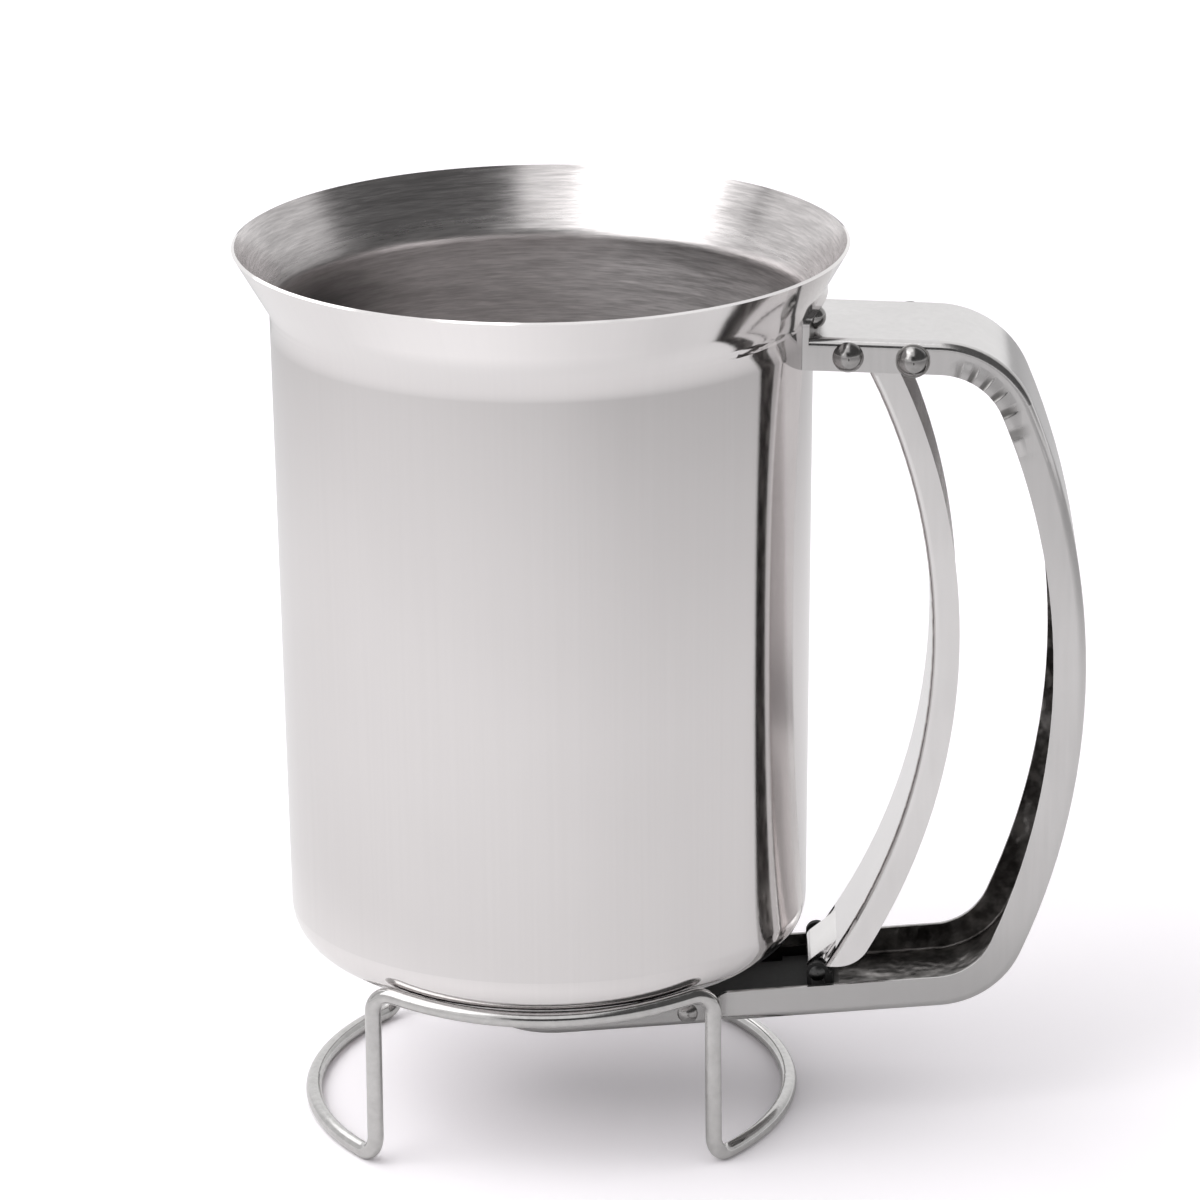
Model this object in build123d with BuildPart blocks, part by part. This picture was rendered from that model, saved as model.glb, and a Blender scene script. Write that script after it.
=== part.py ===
from build123d import *
import os
from math import asin, atan2, cos, degrees, radians, sin, sqrt, tan

# Batter dispenser: a steel cup with a pressed channel handle, a squeeze trigger that pulls a slide
# plate from under the outlet, and a bent-wire stand. Millimetres, Z up. The origin is on the floor
# under the cup's axis and +X points to the handle.

# ---------------------------------------------------------------- driving dimensions
# Cup
RIM_R = 52.5
RIM_Z = 155.0
CUP_Z = 30.0
CUP_WALL = 0.6
CUP_CORNER_R = 7.5
CUP_LOW_R = 45.0
NECK_R = 46.3
NECK_BEND_R = 3.0
FLARE_ANGLE = 30.0

# Outlet under the cup
OUTLET_R = 6.2
NOZZLE_R = 7.6
NOZZLE_FLANGE_R = 11.0
SEAL_R = 8.6
SEAL_T = 1.5

# Stand
WIRE_D = 2.8
STAND_REACH = 42.0
STAND_GAP = 0.15
STAND_BEND = 4.0
TOP_ARC_R = 58.0
TOP_ARC_END = 26.0
TOP_ARC_TILT = 20.6

# Channel handle, its outline measured on the outer face of the web
SHEET = 1.0
HANDLE_W = 26.7
HANDLE_FLANGE = 5.6
TOP_SLOPE = 2.2
TOP_X = 42.0
TOP_Z = 141.45
TOP_BEND_X = 67.7
TOP_BEND_R = 17.5
TOP_BEND = 65.3
GRIP_R = 126.5
GRIP_BEND = 46.3
LOW_BEND_R = 16.4
LEG_SLOPE = 4.4
LEG_WEB_FRONT = 51.0
EAR_FRONT = 29.5
EAR_CORNER_R = 2.5
TAB_TOP_Z = 146.2
TAB_CORNER_R = 3.0

# Guide arm, in the sloping frame of the handle's lower leg
GUIDE_FLANGE = 3.8
GUIDE_NOSE = 3.0
GUIDE_STEP = 28.0
GUIDE_TAIL = 51.0
GUIDE_TAIL_W = 24.6
BRACKET_X = 12.0
BRACKET_LENGTH = 15.0
SIDE_RIVET_S = 24.6
SIDE_RIVET_N = 2.3
SIDE_RIVET_R = 0.8
BRACKET_EAR = 2.0

# Slide plate and its link pin, in the sloping frame
PLATE_W = 21.0
PLATE_T = 1.2
PLATE_NOSE_R = 8.5
PLATE_TAIL = 50.2
PLATE_TAIL_LENGTH = 9.0
LINK_S = 47.6
LINK_N = 6.9
LINK_R = 1.0
LINK_EAR_R = 1.9
LINK_DROP = 2.6
LINK_GAP = 0.2

# Trigger, its outline measured on the outer face of the web
TRIGGER_CENTRE_X = -40.8
TRIGGER_CENTRE_Z = 87.5
TRIGGER_R = 107.3
TRIGGER_W = 23.2
TRIGGER_FLANGE = 4.7
TRIGGER_SHEET = 0.8
TRIGGER_TOP_Z = 136.2
TRIGGER_LOW_Z = 26.0
TRIGGER_EAR_R = 2.0
EAR_LOW_Z = 134.3
FLANGE_END_Z = 27.4
FLANGE_ROUND = 6.0
FOOT_W = 14.4
FOOT_TOP_Z = 31.0
FOOT_BEND = 0.5
FOOT_SLIT = 0.2
EAR_ROOM = 0.25

# Pins, rivets and the return spring
PIVOT_X = 62.9
PIVOT_Z = 137.4
PIN_R = 1.0
CROSS_X = 52.0
CROSS_Z = 138.0
CROSS_R = 1.5
HEAD_R = 2.65
HEAD_H = 1.7
WASHER_R = 2.9
WASHER_T = 0.5
TAB_RIVET_Z = 143.8
TAB_RIVET_ANGLE = 10.0
TAB_HEAD_R = 2.1
SIDE_HEAD_R = 1.8
SPRING_WIRE_R = 0.3
SPRING_R = 1.6
SPRING_PITCH = 0.8
SPRING_TURNS = 5
SPRING_EXTRA = 0.315
SPRING_ARM_TOP = 6.5
SPRING_ARM_LOW = 8.6

# Clearances
RUNNING = 0.06
SLIDING = 0.1

# ---------------------------------------------------------------- handle line and shared frames
# One chain of tangent lines and arcs runs down the outer face of the handle's web.
low_bend = 180 - TOP_SLOPE - LEG_SLOPE - TOP_BEND - GRIP_BEND
top_dir = (cos(radians(TOP_SLOPE)), -sin(radians(TOP_SLOPE)))
bend_start = (TOP_BEND_X, TOP_Z - (TOP_BEND_X - TOP_X) * tan(radians(TOP_SLOPE)))

with BuildLine(Plane.XZ) as spine:
    top = Line((TOP_X, TOP_Z), bend_start)
    upper = JernArc(bend_start, top_dir, TOP_BEND_R, -TOP_BEND)
    grip = JernArc(upper @ 1, upper % 1, GRIP_R, -GRIP_BEND)
    lower = JernArc(grip @ 1, grip % 1, LOW_BEND_R, -low_bend)
    leg_length = ((lower @ 1).X - EAR_FRONT) / cos(radians(LEG_SLOPE))
    Line(lower @ 1, lower @ 1 + (lower % 1) * leg_length)

# The sloping frame of the lower leg: its origin is where the leg's outer face meets the cup's axis.
leg_dir = Vector(cos(radians(LEG_SLOPE)), 0, sin(radians(LEG_SLOPE)))
leg_up = Vector(-sin(radians(LEG_SLOPE)), 0, cos(radians(LEG_SLOPE)))
leg_origin = Vector(0, 0, (lower @ 1).Z - (lower @ 1).X * tan(radians(LEG_SLOPE)))
leg_side = Plane(origin=leg_origin, x_dir=leg_dir, z_dir=(0, -1, 0))


def leg_floor(height):
    """Plane parallel to the lower leg, the given height above the leg's outer face."""
    return Plane(origin=leg_origin + leg_up * height, x_dir=leg_dir, z_dir=leg_up)


def headed_pin(axis_plane, low, high, shank_r, head_r, head_h, both=True):
    """Pin from low to high along the plane's X axis, with a domed head past high, or past each end."""
    dome_r = (head_r**2 + head_h**2) / (2 * head_h)
    with BuildPart() as pin:
        with BuildSketch(axis_plane):
            with BuildLine():
                if both:
                    RadiusArc((low - head_h, 0), (low, head_r), dome_r)
                    Polyline((low, head_r), (low, shank_r), (high, shank_r), (high, head_r))
                    Line((high + head_h, 0), (low - head_h, 0))
                else:
                    Polyline((low, 0), (low, shank_r), (high, shank_r), (high, head_r))
                    Line((high + head_h, 0), (low, 0))
                RadiusArc((high, head_r), (high + head_h, 0), dome_r)
            make_face()
        revolve(axis=Axis(axis_plane.origin, axis_plane.x_dir))
    return pin.part


def cross_axis(x, z):
    """Plane through (x, z) whose X axis runs across the handle, along world Y."""
    return Plane(origin=(x, 0, z), x_dir=(0, 1, 0), z_dir=(1, 0, 0))


def channel_section(plane, width, height, sheet, toward):
    """U section with rounded folds: its web is on the plane's X axis, its legs point to toward * Y."""
    side = Align.MIN if toward > 0 else Align.MAX
    with BuildSketch() as inside:
        with Locations((0, toward * sheet)):
            Rectangle(width - 2 * sheet, height, align=(Align.CENTER, side))
        fillet(inside.vertices().group_by(Axis.Y)[0 if toward > 0 else -1], sheet * 0.5)
    with BuildSketch(plane) as section:
        Rectangle(width, height, align=(Align.CENTER, side))
        fillet(section.vertices().group_by(Axis.Y)[0 if toward > 0 else -1], sheet * 1.5)
        add(inside.sketch, mode=Mode.SUBTRACT)
    return section.sketch


# ---------------------------------------------------------------- cup body
# The wall widens a little to the neck, bends there and runs on as a straight flare, ending square.
flare = radians(FLARE_ANGLE)
bend_rise = NECK_BEND_R * sin(flare)
flare_out = RIM_R - NECK_R - NECK_BEND_R * (1 - cos(flare))
rim_low = RIM_Z - CUP_WALL * sin(flare)
neck_z = rim_low - flare_out / tan(flare) - bend_rise
wall_lean = degrees(atan2(NECK_R - CUP_LOW_R, neck_z - CUP_Z - CUP_CORNER_R))

with BuildLine() as cup_line:
    base = Line((OUTLET_R, CUP_Z), (CUP_LOW_R - CUP_CORNER_R, CUP_Z))
    corner = JernArc(base @ 1, (1, 0), CUP_CORNER_R, 90 - wall_lean)
    Line(corner @ 1, (NECK_R, neck_z))
    neck_bend = JernArc((NECK_R, neck_z), (0, 1), NECK_BEND_R, -FLARE_ANGLE)
    Line(neck_bend @ 1, (RIM_R, rim_low))


def rivet_plane(angle):
    """Plane on the cup's outer face at a tab rivet, with its X axis along the rivet, outwards."""
    lean = asin((TAB_RIVET_Z - neck_z) / NECK_BEND_R)
    round_about = Vector(cos(radians(angle)), sin(radians(angle)), 0)
    at = round_about * (NECK_R + NECK_BEND_R * (1 - cos(lean))) + Vector(0, 0, TAB_RIVET_Z)
    outward = round_about * cos(lean) - Vector(0, 0, sin(lean))
    return Plane(origin=at, x_dir=outward, z_dir=(-sin(radians(angle)), cos(radians(angle)), 0))


def rivet_hole(angle, radius, low, high):
    """Cylinder along a tab rivet's axis, from low to high past the cup's outer face."""
    facing = rivet_plane(angle)
    with BuildPart() as hole:
        with BuildSketch(Plane(origin=facing.origin + facing.x_dir * low, z_dir=facing.x_dir)):
            Circle(radius)
        extrude(amount=high - low)
    return hole.part


with BuildPart() as cup_body:
    with BuildSketch(Plane.XZ):
        with BuildLine():
            add(cup_line.line)
            offset(amount=CUP_WALL, side=Side.LEFT)
        make_face()
    revolve(axis=Axis.Z)
    # Holes for the two rivets of the handle's tab
    for angle in (-TAB_RIVET_ANGLE, TAB_RIVET_ANGLE):
        add(rivet_hole(angle, PIN_R, -3, 3), mode=Mode.SUBTRACT)

# Everything inside the cup's outer face, to cope the handle against it
with BuildPart() as cup_envelope:
    with BuildSketch(Plane.XZ):
        with BuildLine():
            add(cup_line.line)
            Polyline((RIM_R, rim_low), (0, rim_low), (0, CUP_Z), (OUTLET_R, CUP_Z))
        make_face()
    revolve(axis=Axis.Z)

# ---------------------------------------------------------------- outlet nozzle and seal
plate_low = SHEET + SLIDING
seal_low = plate_low + PLATE_T + SLIDING
tip = seal_low + SEAL_T
tip_shift = tip * tan(radians(LEG_SLOPE))

with BuildPart() as outlet_nozzle:
    with BuildSketch(Plane.XY.offset(CUP_Z)):
        Circle(NOZZLE_FLANGE_R)
    extrude(amount=-SHEET)
    with BuildSketch(Plane.XY.offset(CUP_Z)):
        Circle(NOZZLE_R)
    extrude(amount=-16)
    with BuildSketch(Plane.XY.offset(CUP_Z)):
        Circle(OUTLET_R)
    extrude(amount=-16, mode=Mode.SUBTRACT)
    # The tip is cut parallel to the slide plate
    with BuildSketch(leg_floor(tip)):
        Rectangle(60, 60)
    extrude(amount=-30, mode=Mode.SUBTRACT)

with BuildPart() as nozzle_seal:
    with BuildSketch(leg_floor(seal_low)):
        with Locations((tip_shift, 0)):
            Circle(SEAL_R)
            Circle(OUTLET_R + 0.2, mode=Mode.SUBTRACT)
    extrude(amount=SEAL_T)

# ---------------------------------------------------------------- wire stand
# One quarter of the closed wire: floor arc, bend, leg, bend and top arc, then mirrored twice.
# The top arcs rise from their middle to the legs and carry the cup on its rounded bottom corner.
corner_reach = CUP_CORNER_R + WIRE_D / 2 + STAND_GAP
corner_in = STAND_REACH - CUP_LOW_R + CUP_CORNER_R
top_z = CUP_Z + CUP_CORNER_R - sqrt(corner_reach**2 - corner_in**2)
top_end = radians(TOP_ARC_END)
tilt = radians(TOP_ARC_TILT)


def top_point(angle):
    """Point on the tilted top arc at this angle from its middle."""
    back = TOP_ARC_R * (1 - cos(angle))
    return Vector(TOP_ARC_R * sin(angle), STAND_REACH - back * cos(tilt), top_z + back * sin(tilt))


# The leg stands where the bend below the top arc's end turns down.
inward = Vector(-cos(top_end), sin(top_end) * cos(tilt), -sin(top_end) * sin(tilt))
leg_top = top_point(top_end) - (Vector(0, 0, 1) + inward) * STAND_BEND
floor_in = STAND_REACH - leg_top.X
floor_r = (leg_top.Y**2 + floor_in**2 - STAND_BEND**2) / (2 * floor_in)
floor_end = atan2(leg_top.Y, floor_r - floor_in) - atan2(STAND_BEND, floor_r)


def floor_point(angle):
    """Point on the floor arc at this angle from its middle."""
    return Vector(STAND_REACH - floor_r * (1 - cos(angle)), floor_r * sin(angle), WIRE_D / 2)


with BuildPart() as wire_stand:
    with BuildLine() as wire:
        floor_arc = ThreePointArc(floor_point(0), floor_point(floor_end / 2), floor_point(floor_end))
        leg_foot = floor_arc @ 1 + (floor_arc % 1) * STAND_BEND + Vector(0, 0, STAND_BEND)
        TangentArc(floor_arc @ 1, leg_foot, tangent=floor_arc % 1)
        leg = Line(leg_foot, leg_top)
        TangentArc(leg @ 1, top_point(top_end), tangent=(0, 0, 1))
        ThreePointArc(top_point(top_end), top_point(top_end / 2), top_point(0))
    with BuildSketch(Plane(origin=floor_arc @ 0, z_dir=floor_arc % 0)):
        Circle(WIRE_D / 2)
    sweep(path=wire.line)
    mirror(about=Plane.XZ)
    mirror(about=Plane.YZ)

# ---------------------------------------------------------------- handle
# Saddle tab: a ring that follows the neck and the start of the flare, trimmed to a rounded plate
tab_low = bend_start[1] - SHEET
with BuildPart() as handle_tab:
    with BuildSketch(Plane.XZ):
        with BuildLine():
            add(cup_line.line)
            offset(amount=SHEET, side=Side.RIGHT)
        make_face()
    revolve(axis=Axis.Z)
    with BuildSketch(Plane.YZ) as tab_outline:
        with Locations((0, tab_low)):
            Rectangle(HANDLE_W, TAB_TOP_Z - tab_low, align=(Align.CENTER, Align.MIN))
        fillet(tab_outline.vertices().group_by(Axis.Y)[-1], TAB_CORNER_R)
    extrude(amount=RIM_R, mode=Mode.INTERSECT)

with BuildPart() as handle:
    end_plane = Plane(origin=top @ 0, x_dir=(0, 1, 0), z_dir=top % 0)
    sweep(channel_section(end_plane, HANDLE_W, HANDLE_FLANGE, SHEET, -1), path=spine.line)
    # The top end is coped to the cup and carries the tab
    add(cup_envelope.part, mode=Mode.SUBTRACT)
    add(handle_tab.part)
    # In front of the lower bend the web stops and the flanges run on as ears
    with BuildSketch(leg_floor(-1)):
        with Locations((LEG_WEB_FRONT, 0)):
            Rectangle(30, GUIDE_TAIL_W + SLIDING, align=(Align.MAX, Align.CENTER))
    extrude(amount=SHEET * 2 + 1, mode=Mode.SUBTRACT)
    # The ears' front ends are rounded at both corners
    ear_s = EAR_FRONT / cos(radians(LEG_SLOPE))
    for corner_n, inward in ((0, 1), (HANDLE_FLANGE, -1)):
        with BuildSketch(leg_side):
            with Locations((ear_s, corner_n)):
                Rectangle(2 * EAR_CORNER_R, 2 * EAR_CORNER_R)
            with Locations((ear_s + EAR_CORNER_R, corner_n + inward * EAR_CORNER_R)):
                Circle(EAR_CORNER_R, mode=Mode.SUBTRACT)
                Rectangle(EAR_CORNER_R, 2 * EAR_CORNER_R, align=(Align.MIN, Align.CENTER), mode=Mode.SUBTRACT)
        extrude(amount=HANDLE_W, both=True, mode=Mode.SUBTRACT)
    # Holes for the rivets and the pivot pin
    for x, z, hole_r in ((CROSS_X, CROSS_Z, CROSS_R), (PIVOT_X, PIVOT_Z, PIN_R)):
        with BuildSketch(Plane.XZ):
            with Locations((x, z)):
                Circle(hole_r)
        extrude(amount=HANDLE_W, both=True, mode=Mode.SUBTRACT)
    for angle in (-TAB_RIVET_ANGLE, TAB_RIVET_ANGLE):
        add(rivet_hole(angle, PIN_R, -3, 3), mode=Mode.SUBTRACT)

# ---------------------------------------------------------------- rivets and the pivot pin
with BuildPart() as handle_tab_rivets:
    for angle in (-TAB_RIVET_ANGLE, TAB_RIVET_ANGLE):
        add(headed_pin(rivet_plane(angle), 0, SHEET, PIN_R, TAB_HEAD_R, HEAD_H, both=False))
    # The heads sit on the curved tab; the shanks go through it to the cup's inner face
    add(handle_tab.part, mode=Mode.SUBTRACT)
    for angle in (-TAB_RIVET_ANGLE, TAB_RIVET_ANGLE):
        add(rivet_hole(angle, PIN_R, -CUP_WALL, SHEET + 0.5))

cross_half = HANDLE_W / 2
handle_cross_rivet = headed_pin(cross_axis(CROSS_X, CROSS_Z), -cross_half, cross_half, CROSS_R, HEAD_R, HEAD_H)
pin_half = HANDLE_W / 2 + WASHER_T
trigger_pivot_pin = headed_pin(cross_axis(PIVOT_X, PIVOT_Z), -pin_half, pin_half, PIN_R, HEAD_R, HEAD_H)

with BuildPart() as pivot_washers:
    with BuildSketch(Plane.XZ.offset(HANDLE_W / 2)):
        with Locations((PIVOT_X, PIVOT_Z)):
            Circle(WASHER_R)
            Circle(PIN_R, mode=Mode.SUBTRACT)
    extrude(amount=WASHER_T)
    mirror(about=Plane.XZ)

# ---------------------------------------------------------------- guide arm
def guide_plan(plane, inset, tail_end):
    """Round nose under the outlet, full width to the step, then a narrower tail between the ears."""
    with BuildSketch(plane) as plan:
        with Locations((GUIDE_NOSE, 0)):
            Circle(HANDLE_W / 2 - inset)
            Rectangle(GUIDE_STEP - GUIDE_NOSE - inset, HANDLE_W - 2 * inset, align=(Align.MIN, Align.CENTER))
            Rectangle(tail_end - GUIDE_NOSE, GUIDE_TAIL_W - 2 * inset, align=(Align.MIN, Align.CENTER))
    return plan.sketch


with BuildPart() as guide_arm:
    extrude(guide_plan(leg_floor(0), 0, GUIDE_TAIL), amount=GUIDE_FLANGE)
    web_face = guide_arm.faces().sort_by(lambda face: (face.center() - leg_origin).dot(leg_up))[0]
    web_rim = web_face.outer_wire().edges()
    fillet(web_rim.filter_by(lambda edge: (edge.center() - leg_origin).dot(leg_dir) < 45), SHEET)
    extrude(guide_plan(leg_floor(SHEET), SHEET, GUIDE_TAIL + 5), amount=GUIDE_FLANGE, mode=Mode.SUBTRACT)
    # Outlet hole below the nozzle and the holes for the side rivets
    with BuildSketch(leg_floor(-1)):
        Circle(OUTLET_R + 0.6)
    extrude(amount=4, mode=Mode.SUBTRACT)
    with BuildSketch(leg_side):
        with Locations((SIDE_RIVET_S, SIDE_RIVET_N)):
            Circle(SIDE_RIVET_R)
    extrude(amount=HANDLE_W, both=True, mode=Mode.SUBTRACT)

# ---------------------------------------------------------------- bracket under the cup
leg_inside = HANDLE_W / 2 - SHEET - 0.02
side_rivet_at = leg_origin + leg_dir * SIDE_RIVET_S + leg_up * SIDE_RIVET_N

with BuildPart() as bottom_bracket:
    with BuildSketch(Plane.XZ):
        with BuildLine():
            Polyline(
                (BRACKET_X, CUP_Z),
                (BRACKET_X + BRACKET_LENGTH, CUP_Z),
                (side_rivet_at.X + BRACKET_EAR, side_rivet_at.Z - 4),
                (side_rivet_at.X - BRACKET_EAR, side_rivet_at.Z - 4),
                close=True,
            )
        make_face()
    extrude(amount=leg_inside, both=True)
    # The legs stop just above the guide's web
    with BuildSketch(leg_floor(SHEET + SLIDING)):
        Rectangle(100, 60)
    extrude(amount=-20, mode=Mode.SUBTRACT)
    with BuildSketch(Plane.XY.offset(CUP_Z - SHEET)):
        Rectangle(100, 2 * (leg_inside - SHEET))
    extrude(amount=-30, mode=Mode.SUBTRACT)
    with BuildSketch(Plane.XZ):
        with Locations((side_rivet_at.X, side_rivet_at.Z)):
            Circle(SIDE_RIVET_R)
    extrude(amount=HANDLE_W, both=True, mode=Mode.SUBTRACT)

with BuildPart() as guide_side_rivets:
    add(headed_pin(cross_axis(side_rivet_at.X, side_rivet_at.Z), leg_inside - SHEET, HANDLE_W / 2,
                   SIDE_RIVET_R, SIDE_HEAD_R, 1.1, both=False))
    mirror(about=Plane.XZ)

# ---------------------------------------------------------------- slide plate and link pin
link_at = leg_origin + leg_dir * LINK_S + leg_up * LINK_N

with BuildPart() as valve_slide:
    with BuildSketch(leg_floor(plate_low)):
        Circle(PLATE_NOSE_R)
        Rectangle(PLATE_TAIL, 2 * PLATE_NOSE_R, align=(Align.MIN, Align.CENTER))
        with Locations((PLATE_TAIL, 0)):
            Rectangle(PLATE_TAIL_LENGTH, PLATE_W, align=(Align.MAX, Align.CENTER))
    extrude(amount=PLATE_T)
    # Ears stand up at the tail, each with an upright slot for the link pin
    with BuildSketch(leg_side):
        with Locations((LINK_S - LINK_EAR_R, plate_low)):
            Rectangle(PLATE_TAIL - LINK_S + LINK_EAR_R, LINK_N - plate_low, align=(Align.MIN, Align.MIN))
        with Locations((LINK_S, LINK_N)):
            Circle(LINK_EAR_R)
    extrude(amount=PLATE_W / 2, both=True)
    with BuildSketch(leg_floor(plate_low + PLATE_T)):
        with Locations((LINK_S, 0)):
            Rectangle(20, PLATE_W - 2 * PLATE_T)
    extrude(amount=20, mode=Mode.SUBTRACT)
    with BuildSketch(leg_side):
        with Locations((LINK_S, LINK_N), (LINK_S, LINK_N - LINK_DROP)):
            Circle(LINK_R + LINK_GAP)
        with Locations((LINK_S, LINK_N - LINK_DROP / 2)):
            Rectangle(2 * (LINK_R + LINK_GAP), LINK_DROP)
    extrude(amount=PLATE_W, both=True, mode=Mode.SUBTRACT)

link_half = PLATE_W / 2 + RUNNING
slide_link_pin = headed_pin(cross_axis(link_at.X, link_at.Z), -link_half, link_half, LINK_R, 1.4, 0.3)

# ---------------------------------------------------------------- trigger
def web_x(z, r=TRIGGER_R):
    """X of the trigger's web arc at this height."""
    return TRIGGER_CENTRE_X + sqrt(r**2 - (z - TRIGGER_CENTRE_Z) ** 2)


inner_web = TRIGGER_R + TRIGGER_SHEET
curl_in = LINK_R + 0.01
curl_out = curl_in + TRIGGER_SHEET
# The foot runs straight down to the top of the curl round the link pin
foot_top = Vector(web_x(FOOT_TOP_Z), FOOT_TOP_Z)
foot_down = Vector(link_at.X, link_at.Z) - foot_top
foot_angle = atan2(foot_down.Y, foot_down.X) - asin(curl_out / foot_down.length)
foot_dir = Vector(cos(foot_angle), sin(foot_angle))
foot_in = Vector(-foot_dir.Y, foot_dir.X)
foot_end = Vector(link_at.X, link_at.Z) - foot_in * curl_out
foot_start = foot_top - foot_dir * FOOT_BEND + foot_in * 0.1
# Centre of the round at the flanges' low end, and where it meets their free edge
round_dist = TRIGGER_R + TRIGGER_FLANGE - FLANGE_ROUND
round_drop = TRIGGER_CENTRE_Z - FLANGE_END_Z - FLANGE_ROUND
round_x = TRIGGER_CENTRE_X + sqrt(round_dist**2 - round_drop**2)
edge_scale = (TRIGGER_R + TRIGGER_FLANGE) / round_dist
edge_x = TRIGGER_CENTRE_X + (round_x - TRIGGER_CENTRE_X) * edge_scale
edge_z = TRIGGER_CENTRE_Z - round_drop * edge_scale

with BuildPart() as trigger:
    with BuildLine(Plane.XZ) as web_line:
        web_mid = (TRIGGER_CENTRE_X + TRIGGER_R, TRIGGER_CENTRE_Z)
        web_top = (web_x(TRIGGER_TOP_Z), TRIGGER_TOP_Z)
        web_low = (web_x(TRIGGER_LOW_Z), TRIGGER_LOW_Z)
        web_arc = ThreePointArc(web_top, web_mid, web_low)
    web_plane = Plane(origin=web_arc @ 0, x_dir=(0, 1, 0), z_dir=web_arc % 0)
    sweep(channel_section(web_plane, TRIGGER_W, TRIGGER_FLANGE, TRIGGER_SHEET, 1), path=web_line.line)
    # Ears round the pivot pin, hollowed behind the web
    with BuildSketch(Plane.XZ):
        with BuildLine():
            Polyline(
                (web_top[0] + TRIGGER_SHEET, TRIGGER_TOP_Z),
                (PIVOT_X, PIVOT_Z + TRIGGER_EAR_R),
                (PIVOT_X + TRIGGER_EAR_R, PIVOT_Z),
                (web_x(EAR_LOW_Z) + TRIGGER_FLANGE, EAR_LOW_Z),
                (web_x(EAR_LOW_Z) + TRIGGER_SHEET, EAR_LOW_Z),
                close=True,
            )
        make_face()
        with Locations((PIVOT_X, PIVOT_Z)):
            Circle(TRIGGER_EAR_R)
    extrude(amount=TRIGGER_W / 2, both=True)
    with BuildSketch(Plane.XZ):
        with BuildLine():
            high = (web_x(TRIGGER_TOP_Z + 5, inner_web), TRIGGER_TOP_Z + 5)
            low = (web_x(EAR_LOW_Z - 5, inner_web), EAR_LOW_Z - 5)
            ThreePointArc(high, (web_x(EAR_LOW_Z, inner_web), EAR_LOW_Z), low)
            Polyline(low, (PIVOT_X + 20, low[1]), (PIVOT_X + 20, high[1]), high)
        make_face()
    extrude(amount=TRIGGER_W / 2 - TRIGGER_SHEET, both=True, mode=Mode.SUBTRACT)
    with BuildSketch(Plane.XZ):
        with Locations((PIVOT_X, PIVOT_Z)):
            Circle(PIN_R + RUNNING)
    extrude(amount=TRIGGER_W, both=True, mode=Mode.SUBTRACT)
    # The flanges end in a large round, tangent to their free edge
    with BuildSketch(Plane.XZ):
        with BuildLine():
            below = FLANGE_END_Z - 10
            Polyline((edge_x, edge_z), (edge_x + 5, edge_z), (edge_x + 5, below), (web_low[0] - 10, below))
            Polyline((web_low[0] - 10, below), (web_low[0] - 10, FLANGE_END_Z), (round_x, FLANGE_END_Z))
            RadiusArc((round_x, FLANGE_END_Z), (edge_x, edge_z), -FLANGE_ROUND)
        make_face()
    extrude(amount=TRIGGER_W, both=True, mode=Mode.SUBTRACT)
    # The web is slit beside the foot and open over the slide's ears
    with BuildSketch(Plane.XY.offset(FOOT_TOP_Z - FOOT_BEND)):
        with Locations((web_low[0], 0)):
            Rectangle(30, FOOT_W + 2 * FOOT_SLIT)
        for side in (-1, 1):
            with Locations((web_low[0], side * (PLATE_W - PLATE_T) / 2)):
                Rectangle(30, PLATE_T + 2 * EAR_ROOM)
    extrude(amount=-20, mode=Mode.SUBTRACT)
    # The foot between the slits bends to the cup and curls round the link pin
    with BuildSketch(Plane.XZ):
        with BuildLine():
            foot_sheet = foot_in * TRIGGER_SHEET
            Polyline(foot_start, foot_end, foot_end + foot_sheet, foot_start + foot_sheet, close=True)
        make_face()
        with Locations((link_at.X, link_at.Z)):
            Circle(curl_out)
            Circle(curl_in, mode=Mode.SUBTRACT)
    extrude(amount=FOOT_W / 2, both=True)

# ---------------------------------------------------------------- trigger return spring
# Coil round the pivot pin: its first arm bears on the handle's web, its last on the trigger's web.
coil_start = Vector(PIVOT_X, -SPRING_PITCH * SPRING_TURNS / 2, PIVOT_Z)
coil_length = SPRING_PITCH * (SPRING_TURNS + SPRING_EXTRA)
coil = Helix(SPRING_PITCH, coil_length, SPRING_R, coil_start, (0, 1, 0))
with BuildPart() as trigger_return_spring:
    with BuildLine() as spring_wire:
        arm = Line(coil @ 0 - (coil % 0) * SPRING_ARM_TOP, coil @ 0)
        add(coil)
        Line(coil @ 1, coil @ 1 + (coil % 1) * SPRING_ARM_LOW)
    with BuildSketch(Plane(origin=arm @ 0, z_dir=arm % 0)):
        Circle(SPRING_WIRE_R)
    sweep(path=spring_wire.line)

# ---------------------------------------------------------------- export
os.makedirs("parts", exist_ok=True)
pieces = {
    "cup_body": cup_body.part,
    "outlet_nozzle": outlet_nozzle.part,
    "nozzle_seal": nozzle_seal.part,
    "wire_stand": wire_stand.part,
    "handle": handle.part,
    "handle_tab_rivets": handle_tab_rivets.part,
    "handle_cross_rivet": handle_cross_rivet,
    "trigger_pivot_pin": trigger_pivot_pin,
    "pivot_washers": pivot_washers.part,
    "guide_arm": guide_arm.part,
    "bottom_bracket": bottom_bracket.part,
    "guide_side_rivets": guide_side_rivets.part,
    "valve_slide": valve_slide.part,
    "slide_link_pin": slide_link_pin,
    "trigger": trigger.part,
    "trigger_return_spring": trigger_return_spring.part,
}
for name, piece in pieces.items():
    piece.label = name
    export_step(piece, f"parts/{name}.step")
    print(name, len(piece.solids()), round(piece.volume, 1), piece.is_valid)
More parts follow.
